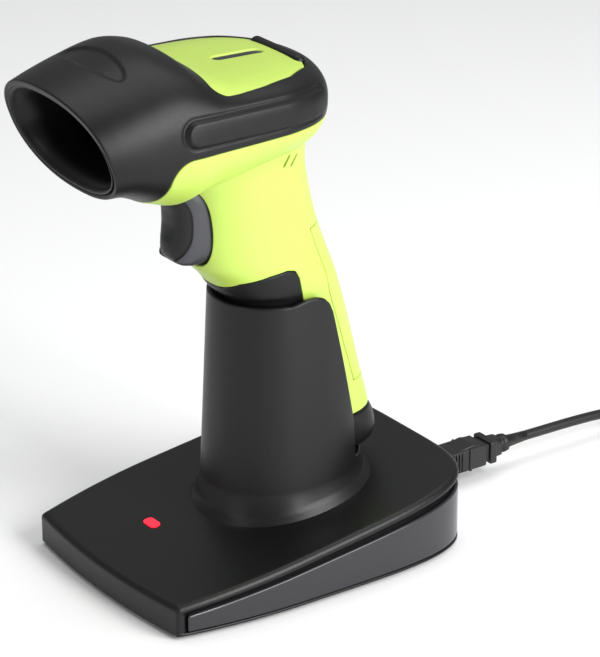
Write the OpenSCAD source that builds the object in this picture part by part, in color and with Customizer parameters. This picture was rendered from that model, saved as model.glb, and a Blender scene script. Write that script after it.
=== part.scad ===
// Handheld barcode scanner standing in its charging cradle, with its lead.
// Millimetres, +Z up, the nose points along -Y, +X is the scanner's right-hand side.

/* [Scanner head] */
// Half the width of the head
head_hw = 33; // [32:0.5:34]
// Height of the head's widest line above the table
head_mid_z = 158; // [157:0.5:160]
// Wall of the black bumper hood
hood_wall = 2.6; // [2.2:0.1:3]

/* [Handle] */
// Half the width of the handle at the grip
grip_hw = 16.6; // [16:0.1:17]
// Wall of the handle mouldings
shell_wall = 2.2; // [2:0.1:2.5]
// Lean of the handle, which is also the way the scanner lifts out
lean = 16.5; // [16:0.5:17]

/* [Trigger] */
// Width of the trigger
trigger_w = 18; // [16:0.5:19]
// Radius of the trigger's pivot pin
pivot_r = 1.0; // [0.8:0.1:1.2]

/* [Cradle] */
// Half the width of the base at its front corners
base_front_hw = 40.5; // [39:0.5:42]
// Half the width of the base at its widest
base_hw = 45.5; // [43:0.5:47]
// Thickness of the base at its front edge
base_front_h = 11.5; // [11:0.5:13]
// Thickness of the base at its rear edge
base_rear_h = 27; // [25:0.5:28]
// Wall of the base and the tower
cradle_wall = 2.2; // [2:0.1:2.5]
// Height of the tower's rim above the table
tower_rim_z = 90; // [89:0.5:92]

/* [Lead] */
// Diameter of the lead
lead_d = 3.4; // [3:0.1:3.6]

/* [Hidden] */

$fn = 48;
e = 0.01;
gap = 0.15;                 // parting gap between neighbouring mouldings
shift_y = 8;                // from the base's centre to the middle of the whole object

green = "#d4ec6c";
black = "#2b2b2e";
gloss = "#4a4a50";
metal = "#c8c8c8";
gold = "#d9b44a";
board = "#1f5a35";

// base
base_front_y = -57;         // front corners; the edge bows forward between them
base_bow = 3;
base_rear_y = 61;
base_wide_y = -12;          // where the base is widest
rear_square = 4.7;          // how square the rear end's outline is
foot_h = 1.2;
slope = (base_rear_h - base_front_h) / (base_rear_y - base_front_y);
band_depth = 1.4;
n_side = 9;
n_rear = 13;

// tower
tower_y = 9.6;
tower_foot_rx = 23.4;
tower_foot_ry = 26.6;
tower_rim_rx = 20.3;
tower_rim_ry = 23.7;
tower_wall = 1.6;
well_z = 31.1;              // floor of the well that the handle stands in
n_ring = 32;

// handle
handle_end_z = 32;
seam_z = 151.6;              // lower edge of the hood along the sides

// posts under the circuit board in the head: how far back, and where each starts
post_x = 19.5;
posts = [[-17.5, 140.4], [-1.5, 143.6]];

// trigger
pivot_y = -19;
pivot_z = 132;
pin_len = 27;
boss_w = 10;
trigger_mid_z = 119.4;
switch_z = 115;
plunger_r = 1.1;

// circuit board and contacts in the cradle
board_z = 6.6;
contact_y = 25;
contact_z = 29.8;
pin_r = 0.9;
pin_x = 4;

// lead: where it leaves its plug, its way to the coil, and its way on to the far plug
plug_z = 8.8;
lead_route = [
  [0, 112, 8.8], [0, 120, 8.8], [0, 128, 8.7], [0, 136, 8.6], [0, 144, 8.4], [0, 152, 8.0],
  [0, 160, 7.2], [0, 168, 6.0], [0, 176, 4.5], [0, 184, 3.1], [0, 192, 2.2], [0, 200, 1.8],
  [0, 208, 1.7]
];
coil_c = [27, 208];         // centre of the coil
coil_mid_r = 20.4;
coil_w = 17;
coil_h = 6.8;
tail_route = [
  [27, 235, 5.1], [34, 235, 4.4], [41, 234.4, 3.0], [48, 231.8, 2.0], [54, 227.6, 1.7],
  [59, 221.8, 1.7], [62.2, 215, 2.1], [63.4, 208, 3.2], [63.5, 201, 4.2]
];
usb_x = 63.5;
usb_y = 201;
usb_z = 4.2;

// ---------------------------------------------------------------- shared forms

// Brings a piece drawn about the base's centre to its place in the whole object.
module placed() { translate([0, shift_y, 0]) children(); }

function sgn_pow(v, p) = sign(v) * pow(abs(v), p);

// Closed skin over a stack of rings with the same number of points each.
module loft(rings) {
  n = len(rings[0]);
  m = len(rings);
  first = m * n;
  points = concat([for (r = rings) each r], [mean(rings[0]), mean(rings[m - 1])]);
  sides = [for (j = [0:m - 2], i = [0:n - 1])
    let (a = j * n + i, b = j * n + (i + 1) % n, c = a + n, d = b + n)
      each [[a, c, b], [b, c, d]]];
  ends = [for (i = [0:n - 1])
    each [[first, i, (i + 1) % n], [first + 1, (m - 1) * n + (i + 1) % n, (m - 1) * n + i]]];
  polyhedron(points, concat(sides, ends));
}

function mean(r) = [for (k = [0:2]) sum([for (p = r) p[k]]) / len(r)];
function sum(v, i = 0) = i < len(v) ? v[i] + sum(v, i + 1) : 0;

// Extrudes an outline drawn as [y, z] across X, centred on x = 0.
module across(width) {
  rotate([90, 0, 90]) linear_extrude(width, center = true) children();
}

module rounded_box(size, r) {
  translate([0, 0, -size[2] / 2]) linear_extrude(size[2])
    hull() for (x = [-1, 1], y = [-1, 1])
      translate([x * (size[0] / 2 - r), y * (size[1] / 2 - r)]) circle(r);
}

// ---------------------------------------------------------------- base outline

// Right half of the base's plan, front centre to rear centre.
function half_plan() = concat(
  [for (i = [0:4]) let (x = base_front_hw * i / 4)
    [x, base_front_y - base_bow * (1 - pow(x / base_front_hw, 2))]],
  [for (i = [1:n_side]) let (t = 1 - i / n_side)
    [base_hw - (base_hw - base_front_hw) * t * t,
     base_wide_y + (base_front_y - base_wide_y) * t]],
  [for (i = [1:n_rear]) let (a = 90 * i / n_rear)
    [base_hw * sgn_pow(cos(a), 2 / rear_square),
     base_wide_y + (base_rear_y - base_wide_y) * sgn_pow(sin(a), 2 / rear_square)]]);

function full_plan() = let (h = half_plan(), n = len(h))
  concat(h, [for (i = [n - 2:-1:1]) [-h[i][0], h[i][1]]]);

// The plan drawn in evenly by an inset, towards a line along its middle.
function inset_plan(d) = let (cy = (base_front_y + base_rear_y) / 2)
  [for (p = full_plan())
    [p[0] * (base_hw - d) / base_hw, cy + (p[1] - cy) * (60 - d) / 60]];

function top_z(y) = base_front_h + slope * (y - base_front_y);

// A ring round the base at a share k of the local thickness, dropped by d.
function base_ring(inset, k, d) = [for (p = inset_plan(inset)) [p[0], p[1], k * top_z(p[1]) + d]];

module base_form(w) {
  loft([
    base_ring(w, 0, foot_h + (w > 0 ? -e : 0)),
    base_ring(w, 1, -2.4 - w),
    base_ring(w + 0.7, 1, -0.9 - w),
    base_ring(w + 2.2, 1, -w)
  ]);
}

// ---------------------------------------------------------------- tower and handle forms

// Ring at height z with its own front and rear reach; tilt lets it follow the sloping base.
function flat_ring(z, front, rear, rx, p = 2.3, tilt = 0, n = n_ring) =
  let (cy = (front + rear) / 2, ry = (rear - front) / 2)
    [for (i = [0:n - 1]) let (a = 360 * i / n, y = cy + ry * sgn_pow(sin(a), 2 / p))
      [rx * sgn_pow(cos(a), 2 / p), y, z + tilt * slope * (y - tower_y)]];

function tower_ring(z, grow, tilt) =
  let (t = (z - 20) / (tower_rim_z - 20),
       rx = tower_foot_rx + (tower_rim_rx - tower_foot_rx) * t + grow,
       ry = tower_foot_ry + (tower_rim_ry - tower_foot_ry) * t + grow)
    flat_ring(z, tower_y - ry, tower_y + ry, rx, 2.15, tilt);

function foot_z() = top_z(tower_y);

module tower_form(grow) {
  loft([
    tower_ring(foot_z() - 1, 1.3 + grow, 1),
    tower_ring(foot_z() + 0.2, 1.3 + grow, 1),
    tower_ring(foot_z() + 0.9, 0.8 + grow, 1),
    tower_ring(foot_z() + 2.6, 0.3 + grow, 0.8),
    tower_ring(foot_z() + 7, grow, 0.4),
    tower_ring(45, grow, 0),
    tower_ring(70, grow, 0),
    tower_ring(tower_rim_z + 3, grow, 0)
  ]);
}

// Height, front reach, rear reach and half width of the handle.
handle_stations = [
  [handle_end_z, 5.4, 42, grip_hw - 2], [40, 3.2, 41.6, grip_hw - 1.6], [60, -3, 36.6, grip_hw - 0.6],
  [76, -8, 32.4, grip_hw - 0.2], [88, -11.4, 29, grip_hw], [90.8, -11.9, 28, grip_hw + 0.2],
  [93, -14.6, 27.4, grip_hw + 0.4],
  [98, -18.3, 25.6, grip_hw + 0.4], [104, -23.4, 23.4, grip_hw], [111, -25, 20.8, grip_hw - 0.4],
  [119, -25.6, 18.4, grip_hw - 0.4], [127, -27, 16.6, grip_hw - 0.2], [134, -31, 15.6, grip_hw + 0.2],
  [140, -37, 15.8, grip_hw + 1.4], [146, -41, 16.4, grip_hw + 3.4]
];

// The handle drawn in by w, from station a to station b.
module handle_form(w, a = 0, b = 14) {
  loft([for (i = [a:b]) let (s = handle_stations[i])
    flat_ring(s[0] + (i == a && w > 0 ? w : 0), s[1] + w, s[2] - w, s[3] - w)]);
}

// ---------------------------------------------------------------- head form

// Distance along the head, half width, widest height, rise above it, drop below it, and how
// square the upper half's section is.
head_stations = [
  [-69.8, 29.2, 154.4, 17.2, 17.6, 2.25], [-64, 30.4, 155, 19, 18.4, 2.25],
  [-56, 31.6, 155.6, 21.4, 21, 2.25], [-47, 32.4, 156.2, 23.4, 24.6, 2.25],
  [-39, 33, 157, 21.2, 27.4, 2.3], [-31, 33, 158, 14.6, 26, 2.7], [-22, 33, 158, 11.8, 24, 3.2],
  [-10, 32.8, 158, 11.4, 21, 3.3], [0, 31, 158, 11.1, 19.6, 3.1], [7, 27.6, 158, 10.4, 17.6, 2.8],
  [12, 22.6, 158, 9.4, 15, 2.5], [15.6, 15.6, 158, 7.8, 12, 2.3], [17.2, 8, 158, 6, 8.4, 2.2]
];
mouth_lean = 0.38;          // how far the mouth's top leans forward for each unit of height

function head_ring(s, w, n = 36) =
  let (hw = (s[1] - w) * head_hw / 33, up = s[3] - w, down = s[4] - w,
       tip = mouth_lean * max(0, min(1, (-48 - s[0]) / 23)))
    [for (i = [0:n - 1])
      let (a = -360 * i / n, p = 2 / (sin(a) > 0 ? s[5] : 2.25),
           cx = sgn_pow(cos(a), p), cz = sgn_pow(sin(a), p),
           rise = (cz > 0 ? up : down) * cz)
        [hw * cx, s[0] - tip * rise, s[2] + head_mid_z - 158 + rise]];

// The head drawn in by w, from station a on.
module head_form(w, a = 0, b = 12) {
  loft([for (i = [a:b]) let (s = head_stations[i])
    head_ring([i == b ? s[0] - w : s[0], s[1], s[2], s[3], s[4], s[5]], w)]);
}

// Side view of the green zone below the hood: straight edge, round front corner.
module green_zone(grow = 0) {
  across(90) offset(delta = grow) polygon(concat(
    [[30, 20], [30, seam_z + 1.6]],
    [for (a = [90:15:180]) [-42.4 + 6.6 * cos(a), seam_z - 6.6 + 6.6 * sin(a)]],
    [[-49, 120], [-30, 100], [-30, 20]]));
}

// Plan of the top cover: nearly straight front edge, narrow rounded rear end.
module cover_plan(grow = 0) {
  offset(r = grow) offset(r = 4, $fn = 32) polygon([
    [-23.6, -27.4], [-12, -26.4], [0, -25.8], [12, -26.4], [23.6, -27.4], [22, -14], [19.6, -4], [14.4, 4.4],
    [9, 7], [-9, 7], [-14.4, 4.4], [-19.6, -4], [-22, -14]]);
}

// Side view of the black grip panel's reach round the front of the handle.
module grip_zone(grow = 0) {
  across(50) offset(delta = grow) polygon([
    [-24, 93.6], [-16.4, 96.2], [-13.6, 98.6], [-5.4, 100.6], [1, 101.3], [4, 100.6], [5.4, 98],
    [7, 90], [24, 40], [-24, 40]]);
}

// Side view of the rear cover's reach.
module rear_zone(grow = 0) {
  across(50) offset(delta = grow) polygon([
    [50, 56], [29, 56], [18.2, 90], [17.4, 96], [14, 106], [12, 112], [50, 112]]);
}

// Lets a piece be drawn about the handle's own line, which leans back towards its foot.
module along_lean(y, z) {
  translate([0, y, z]) rotate([lean, 0, 0]) children();
}

// ---------------------------------------------------------------- cradle

module base_top_shell() color(black) placed() difference() {
  base_form(0);
  difference() {
    base_form(cradle_wall);
    base_bosses();
  }
  band_space(0);
  // opening under the contact block
  translate([0, contact_y, 20]) cube([22, 16, 20], center = true);
  // light pipe hole of the status light
  translate([-8, -35, 10]) cylinder(h = 10, r = 1.6);
  // lead socket opening
  translate([0, 59, plug_z]) cube([12.4, 14, 9.8], center = true);
}

// Posts that take the base screws.
module base_bosses() {
  for (x = [-1, 1], y = [-46, 46]) translate([x * 30, y, foot_h + 2.2]) difference() {
    cylinder(h = top_z(y) - foot_h - 3, r = 3.2);
    translate([0, 0, -1]) cylinder(h = 6.6, r = 1.45);
  }
}

// Wedge of room in the base's sides and rear for the gloss band.
module band_space(grow) {
  difference() {
    loft([
      base_ring(-2, 0, 2.2 - grow),
      base_ring(-2, 0.88, -2.6 + grow)
    ]);
    loft([
      base_ring(band_depth + grow, 0, 1),
      base_ring(band_depth + grow, 1, 2)
    ]);
    translate([0, base_front_y - 22.5 - grow, 10]) cube([120, 50, 40], center = true);
  }
}

module side_band() color(gloss) placed() difference() {
  intersection() {
    band_space(-gap);
    loft([base_ring(0.1, 0, 1.6), base_ring(0.1, 1, 3)]);
  }
  translate([0, 59, plug_z]) cube([12.4, 14, 9.8], center = true);
}

module base_bottom_plate() color(black) placed() difference() {
  loft([
    base_ring(cradle_wall + gap, 0, foot_h),
    base_ring(cradle_wall + gap, 0, foot_h + 2)
  ]);
  for (x = [-1, 1], y = [-46, 46]) translate([x * 30, y, 0]) {
    cylinder(h = 6, r = 1.6);
    translate([0, 0, foot_h - e]) cylinder(h = 1, r = 3);
  }
}

module rubber_feet() color("#1c1c1e") placed()
  for (x = [-1, 1], y = [-44, 38]) translate([x * 22, y, 0]) cylinder(h = foot_h, r = 6);

module base_screws() color(metal) placed()
  for (x = [-1, 1], y = [-46, 46]) translate([x * 30, y, foot_h]) {
    cylinder(h = 1, r = 2.8);
    cylinder(h = 7, r = 1.4);
  }

module ballast_plate() color("#8a8a8c") placed()
  translate([0, -24, foot_h + 2]) linear_extrude(3) offset(r = 3) square([58, 26], center = true);

module cradle_circuit_board() color(board) placed() {
  translate([0, 0, board_z]) linear_extrude(1.6) {
    translate([0, 25.5]) square([50, 37], center = true);
    translate([-8, -13]) square([6, 46], center = true);
  }
  translate([19, 30, board_z + 2.8]) cube([9, 9, 2.6], center = true);
  translate([-19, 34, board_z + 2.6]) cube([6, 10, 2.2], center = true);
}

module status_led_lens() color("red") placed() {
  translate([-8, -35, board_z + 1.7]) cylinder(h = 6, r = 1.5);
  translate([-8, -35, top_z(-35) + 0.02]) rotate([atan(slope), 0, 0]) rounded_box([6.4, 3.6, 0.5], 1.5);
}

module lead_socket() color("#202022") placed()
  difference() {
    translate([0, 51.2, plug_z]) cube([12, 13, 9.4], center = true);
    translate([0, 56, plug_z]) cube([9.4, 16, 7], center = true);
  }

module cradle_tower() color(black) placed() difference() {
  translate([0, 0, 1 + e]) tower_form(0);
  // the well, and the room below its floor
  difference() {
    translate([0, 0, 1]) tower_form(-tower_wall);
    translate([0, 0, well_z - 1.2]) cube([90, 90, 2.4], center = true);
  }
  // the contact block comes up through the floor
  translate([0, contact_y, well_z]) cube([22, 16, 10], center = true);
  // rim: level in front, raised a little beside the open sloping back
  across(90) polygon([
    [-60, tower_rim_z], [1, tower_rim_z], [6, tower_rim_z + 1.2], [10, tower_rim_z + 1.3],
    [13, tower_rim_z + 0.4], [15.2, tower_rim_z - 1.8], [16.6, tower_rim_z - 5], [26.6, 44],
    [26.6, 33], [27.4, 31.6], [29, well_z], [60, well_z], [60, 110], [-60, 110]]);
}

module contact_block() color(black) placed() difference() {
  union() {
    translate([-13, contact_y - 9, board_z + 1.61]) cube([26, 18, 10]);
    translate([-10, contact_y - 7, board_z + 8]) cube([20, 14, contact_z - board_z - 8]);
  }
  for (x = [-1, 1]) translate([x * pin_x, contact_y, 12]) cylinder(h = 20, r = pin_r + 0.05);
}

module contact_pins() color(gold) placed()
  for (x = [-1, 1]) translate([x * pin_x, contact_y, 17]) cylinder(h = contact_z + 0.9 - 17, r = pin_r);

// ---------------------------------------------------------------- scanner head

module nose_hood() color(black) placed() difference() {
  union() {
    head_form(0);
    rear_lip();
    side_ribs();
  }
  green_zone();
  nose_funnel();
  head_form(hood_wall, 3);
  translate([0, 0, 163]) linear_extrude(30) cover_plan(gap);
}

// Raised bar behind the top cover.
module rear_lip() {
  translate([0, 10.4, 162]) hull()
    for (x = [-1, 1]) translate([x * 11, 0, 0]) {
      sphere(r = 2.8, $fn = 24);
      translate([0, -1.4, 4.6]) sphere(r = 2.2, $fn = 24);
    }
}

// Long raised rib on each side of the bumper.
module side_ribs() {
  for (s = [-1, 1]) hull()
    for (p = [[29.1, -41], [29.1, -16], [27, -4], [23, 3.2]])
      translate([s * p[0], p[1], 158.8]) sphere(r = 5.2, $fn = 24);
}

// Dark funnel from the mouth back to the window.
module nose_funnel() {
  loft([
    head_ring([-71.4, 29.2, 154.4, 17.2, 17.6, 2.25], 2.2),
    head_ring([-67, 29.2, 154.8, 17.2, 17.6, 2.25], 3.4),
    head_ring([-55, 24, 156, 12.4, 12.4, 2.25], 0),
    head_ring([-45, 22.4, 156.4, 10.4, 10.4, 2.25], 0)
  ]);
}

module top_cover() color(green) placed() difference() {
  intersection() {
    head_form(0.5, 3);
    translate([0, 0, 163]) linear_extrude(30) cover_plan(-gap);
  }
  head_form(0.5 + 2, 3);
  translate([0, -6, 150]) linear_extrude(40) indicator_plan(0.1);
}

module indicator_plan(grow) {
  hull() for (y = [-7, 7]) translate([0, y]) circle(1.9 + grow);
}

module indicator_lens() color("#1a1a1c") placed() intersection() {
  translate([0, -6, 150]) linear_extrude(40) indicator_plan(0);
  difference() {
    head_form(0.8, 3);
    head_form(0.5 + 2, 3);
  }
}

module scan_window() color("#301014") placed()
  translate([0, -46, 156.4]) across_y(1.6) rounded_rect(50, 25, 8);

// Extrudes an outline drawn as [x, z] along Y.
module across_y(t) { rotate([90, 0, 0]) linear_extrude(t, center = true) children(); }

module rounded_rect(w, h, r) {
  hull() for (x = [-1, 1], y = [-1, 1]) translate([x * (w / 2 - r), y * (h / 2 - r)]) circle(r);
}

module scan_engine() color("#3a3a40") placed() difference() {
  translate([0, -33, 156]) cube([24, 16, 13], center = true);
  translate([-3, -38, 156.4]) rotate([90, 0, 0]) cylinder(h = 8, r = 4.05);
}

module engine_lens() color("#8899aa") placed()
  translate([-3, -38, 156.4]) rotate([90, 0, 0]) cylinder(h = 4.6, r = 4);

module engine_bracket() color("#2f2f33") placed() difference() {
  translate([0, -32.5, 149]) cube([40, 21, 6], center = true);
  translate([0, -33, 156]) cube([24.3, 16.3, 13.1], center = true);
}

module head_circuit_board() color(board) placed() {
  difference() {
    translate([0, -9, 152.5]) cube([46, 23, 1.6], center = true);
    for (p = posts, s = [-1, 1]) translate([s * post_x, p[0], 150]) cylinder(h = 6, r = 1.5);
  }
  translate([-7, -12, 154.2]) cube([10, 10, 2], center = true);
  translate([10, -15, 154]) cube([8, 6, 1.8], center = true);
}

module buzzer() color("#151517") placed()
  translate([8, -5, 153.3]) cylinder(h = 4.5, r = 5);

// ---------------------------------------------------------------- handle

module handle_shell() color(green) placed() difference() {
  union() {
    intersection() {
      head_form(0);
      green_zone(-gap);
    }
    intersection() {
      handle_form(0, 1);
      across(90) translate([-50, 45]) square([110, 101]);
    }
  }
  difference() {
    head_form(hood_wall, 3);
    board_posts();
  }
  handle_form(shell_wall, 1);
  rear_zone(gap);
  grip_zone(gap);
  // trigger opening
  translate([0, -37, trigger_mid_z]) across_y(46) rounded_rect(trigger_w + 1.2, 31.8, 5.5);
  // pivot pin seats
  translate([0, pivot_y, pivot_z]) rotate([0, 90, 0])
    cylinder(h = pin_len, r = pivot_r, center = true);
}

// Posts in the floor of the head that carry the circuit board, each with a screw hole.
module board_posts() {
  for (p = posts, s = [-1, 1]) translate([s * post_x, p[0], p[1]]) difference() {
    cylinder(h = 151.6 - p[1], r = 2.8);
    translate([0, 0, 2]) cylinder(h = 12, r = 1.25);
  }
}

module rear_cover() color(green) placed() intersection() {
  difference() {
    handle_form(0, 1);
    handle_form(shell_wall, 1);
  }
  rear_zone(0);
}

module grip_panel() color(black) placed() intersection() {
  difference() {
    handle_form(0, 1);
    handle_form(shell_wall, 1);
  }
  grip_zone(0);
  across(90) translate([-50, 44.2]) square([110, 101]);
}

module end_cap() color(black) placed() difference() {
  loft([
    flat_ring(handle_end_z - 0.6, 8.4, 41.4, grip_hw - 4),
    flat_ring(handle_end_z + 0.6, 6.2, 43.2, grip_hw - 2.6),
    flat_ring(handle_end_z + 4, 4.8, 43.9, grip_hw - 2),
    flat_ring(40, 4, 43.2, grip_hw - 1.9),
    flat_ring(44, 2.6, 41.2, grip_hw - 1.9)
  ]);
  loft([
    flat_ring(34.4, 9, 40, grip_hw - 5),
    flat_ring(38, 7.4, 40.4, grip_hw - 4.2),
    flat_ring(46, 4.8, 38.6, grip_hw - 4.2)
  ]);
}

module charge_pads() color(gold) placed()
  for (x = [-1, 1]) translate([x * pin_x, contact_y, handle_end_z - 1]) cylinder(h = 0.4 - e, r = 2);

module battery() color("#3b6ea8") placed()
  along_lean(25.4, 37.4) cylinder(h = 65, r = 9);

module board_screws() color(metal) placed()
  for (p = posts, s = [-1, 1]) translate([s * post_x, p[0], 0]) {
    translate([0, 0, p[1] + 2.4]) cylinder(h = 153.4 - p[1] - 2.4, r = 1.2);
    translate([0, 0, 153.3 + e]) cylinder(h = 1.3, r = 2.2);
  }

// ---------------------------------------------------------------- trigger

module trigger() color("#38383c") placed() difference() {
  union() {
    intersection() {
      across(trigger_w) polygon([
        [-31, 131], [-34.4, 127], [-33.4, 123], [-33.4, 118], [-34.4, 114], [-35.2, 111.4],
        [-34.2, 109], [-31, 107], [-25, 105.4], [-21.6, 106.6], [-20.4, 110], [-20, 118],
        [-20.4, 128]]);
      translate([0, 0, 90]) linear_extrude(60) trigger_plan();
      translate([0, -30, trigger_mid_z]) across_y(46) rounded_rect(trigger_w, 30, 5);
    }
    // pivot boss and its web
    translate([0, pivot_y, pivot_z]) rotate([0, 90, 0]) cylinder(h = boss_w, r = 2.6, center = true);
    across(boss_w) polygon([[-30, 130], [-20, 122], [pivot_y + 1, 130], [pivot_y, 134], [-22, 134]]);
    // finger that reaches the switch
    translate([0, -18.4, switch_z]) cube([5, 5, 5], center = true);
  }
  translate([0, pivot_y, pivot_z]) rotate([0, 90, 0])
    cylinder(h = 40, r = pivot_r + 0.05, center = true);
}

// Plan of the trigger: broad round front.
module trigger_plan() {
  translate([0, -18]) scale([1, 1.92]) circle(trigger_w / 2);
}

module trigger_pin() color(metal) placed()
  translate([0, pivot_y, pivot_z]) rotate([0, 90, 0])
    cylinder(h = pin_len - 2 * e, r = pivot_r - e, center = true);

// Torsion spring: three turns round the pin beside the boss.
module trigger_spring() color(metal) placed()
  for (i = [0:2]) translate([7 + i * 0.62, pivot_y, pivot_z]) rotate([0, 90, 0])
    rotate_extrude() translate([1.7, 0]) circle(0.3, $fn = 16);

module trigger_switch() color("#1d1d20") placed() difference() {
  translate([0, -9.4, switch_z]) cube([9, 8, 10], center = true);
  translate([0, -9.4, switch_z]) rotate([90, 0, 0]) cylinder(h = 10, r = plunger_r + 0.05);
}

module switch_plunger() color("#c03030") placed()
  translate([0, -11.2, switch_z]) rotate([90, 0, 0]) cylinder(h = 4.4, r = plunger_r);

// ---------------------------------------------------------------- lead

// Ring of a swept tube at a route point, square to the line through its neighbours.
function tube_ring(route, i, r, n = 8) =
  let (a = route[max(i - 1, 0)], b = route[min(i + 1, len(route) - 1)], d = (b - a) / norm(b - a),
       side = cross(d, [0, 0, 1]) / norm(cross(d, [0, 0, 1])), up = cross(side, d))
    [for (k = [0:n - 1]) route[i] + r * (cos(360 * k / n + 22.5) * side + sin(360 * k / n + 22.5) * up)];

module tube(route, r) { loft([for (i = [0:len(route) - 1]) tube_ring(route, i, r)]); }

module lead_plug() color("#242426") placed() {
  // nose inside the socket
  translate([0, 57.5, plug_z]) cube([9, 11, 6.6], center = true);
  difference() {
    translate([0, 78.8, plug_z]) cube([10, 34.8, 8], center = true);
    for (s = [-1, 1]) translate([s * 5.6, 93.6, plug_z]) cube([2.4, 0.8, 12], center = true);
  }
  translate([0, 87, plug_z + 4]) rotate([45, 0, 0]) cube([6, 2.8, 2.8], center = true);
  translate([0, 96, plug_z]) rotate([-90, 0, 0]) cylinder(h = 8, r1 = 3.6, r2 = lead_d / 2 + 0.6);
}

module lead_cable() color("#1e1e20") tube(lead_route, lead_d / 2);

module lead_coil() color("#1e1e20")
  translate([coil_c[0], coil_c[1], 0]) rotate_extrude(convexity = 4)
    translate([coil_mid_r, coil_h / 2]) offset(r = 1.5) square([coil_w - 3, coil_h - 3], center = true);

module lead_tail() color("#1e1e20") tube(tail_route, lead_d / 2);

module lead_tie() color("#101012")
  translate([coil_c[0] + coil_mid_r, coil_c[1], 0]) difference() {
    translate([0, 0, coil_h / 2 + 0.5]) cube([coil_w + 2, 6, coil_h + 1], center = true);
    translate([0, 0, coil_h / 2 - 1]) cube([coil_w + 0.1, 8, coil_h + 2.1], center = true);
  }

module usb_plug_grip() color("#242426")
  translate([usb_x, usb_y, usb_z]) rotate([90, 0, 0]) {
    cylinder(h = 8, r1 = lead_d / 2 + 0.6, r2 = 3.4);
    translate([0, 0, 17]) rounded_box([15.6, 8, 20], 2);
  }

module usb_plug_shell() color(metal)
  translate([usb_x, usb_y - 33.4, usb_z]) difference() {
    cube([12, 12.8, 4.5], center = true);
    translate([0, -2, 0.3]) cube([11.4, 12, 3.2], center = true);
  }

base_top_shell();
base_bottom_plate();
side_band();
cradle_tower();
status_led_lens();
contact_block();
contact_pins();
cradle_circuit_board();
lead_socket();
ballast_plate();
rubber_feet();
base_screws();
nose_hood();
top_cover();
indicator_lens();
scan_window();
scan_engine();
engine_lens();
engine_bracket();
head_circuit_board();
buzzer();
handle_shell();
rear_cover();
grip_panel();
end_cap();
charge_pads();
battery();
board_screws();
trigger();
trigger_pin();
trigger_spring();
trigger_switch();
switch_plunger();
lead_plug();
lead_cable();
lead_coil();
lead_tail();
lead_tie();
usb_plug_grip();
usb_plug_shell();
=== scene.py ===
import math

import bmesh
import bpy
import numpy as np
from mathutils import Matrix, Vector


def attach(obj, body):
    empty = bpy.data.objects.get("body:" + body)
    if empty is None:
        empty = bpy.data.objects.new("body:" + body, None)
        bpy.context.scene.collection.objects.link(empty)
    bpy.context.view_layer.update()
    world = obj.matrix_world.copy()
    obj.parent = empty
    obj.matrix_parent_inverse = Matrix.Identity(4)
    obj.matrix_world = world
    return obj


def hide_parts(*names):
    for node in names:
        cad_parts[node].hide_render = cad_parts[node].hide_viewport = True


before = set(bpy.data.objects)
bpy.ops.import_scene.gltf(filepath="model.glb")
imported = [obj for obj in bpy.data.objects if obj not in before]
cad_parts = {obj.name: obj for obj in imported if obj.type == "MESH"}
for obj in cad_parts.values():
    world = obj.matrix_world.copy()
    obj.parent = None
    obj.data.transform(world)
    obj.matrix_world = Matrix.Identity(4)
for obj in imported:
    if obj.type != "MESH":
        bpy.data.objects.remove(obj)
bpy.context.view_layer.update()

mm = 0.001
shiftY = 8.0  # from the base's centre to the middle of the whole object
scene = bpy.context.scene
print("frame loaded")

# camera: seen from the right front, a little above
cameraView = {
    "turn": 54.82,
    "rise": 23.16,
    "distance": 1000.0,
    "aim": (0.0, shiftY, 85.0),
    "slide": (14.3, -7.9),
    "lens": 190.0,
}


def makeCamera(view):
    turn, rise = math.radians(view["turn"]), math.radians(view["rise"])
    right = Vector((math.cos(turn), math.sin(turn), 0))
    back = Vector((math.sin(turn) * math.cos(rise), -math.cos(turn) * math.cos(rise), math.sin(rise)))
    up = back.cross(right)
    place = Vector(view["aim"]) + back * view["distance"] + right * view["slide"][0] + up * view["slide"][1]
    data = bpy.data.cameras.new("viewCamera")
    data.sensor_fit = "HORIZONTAL"
    data.sensor_width = 36
    data.lens = view["lens"]
    data.clip_start = 0.05
    camera = bpy.data.objects.new("viewCamera", data)
    turned = Matrix((right, up, back)).transposed().to_4x4()
    camera.matrix_world = Matrix.Translation(place * mm) @ turned
    scene.collection.objects.link(camera)
    scene.camera = camera
    return right, back


viewRight, viewBack = makeCamera(cameraView)
print("camera made")

# materials


def toLinear(hexText):
    parts = [int(hexText[i : i + 2], 16) / 255 for i in (1, 3, 5)]
    return tuple(c / 12.92 if c <= 0.04045 else ((c + 0.055) / 1.055) ** 2.4 for c in parts) + (1.0,)


def addNode(tree, kind, inputs=None, **settings):
    made = tree.nodes.new(kind)
    for name, value in settings.items():
        setattr(made, name, value)
    for key, value in (inputs or {}).items():
        socket = made.inputs[key]
        if isinstance(value, bpy.types.NodeSocket):
            tree.links.new(value, socket)
        else:
            socket.default_value = value
    return made


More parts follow.
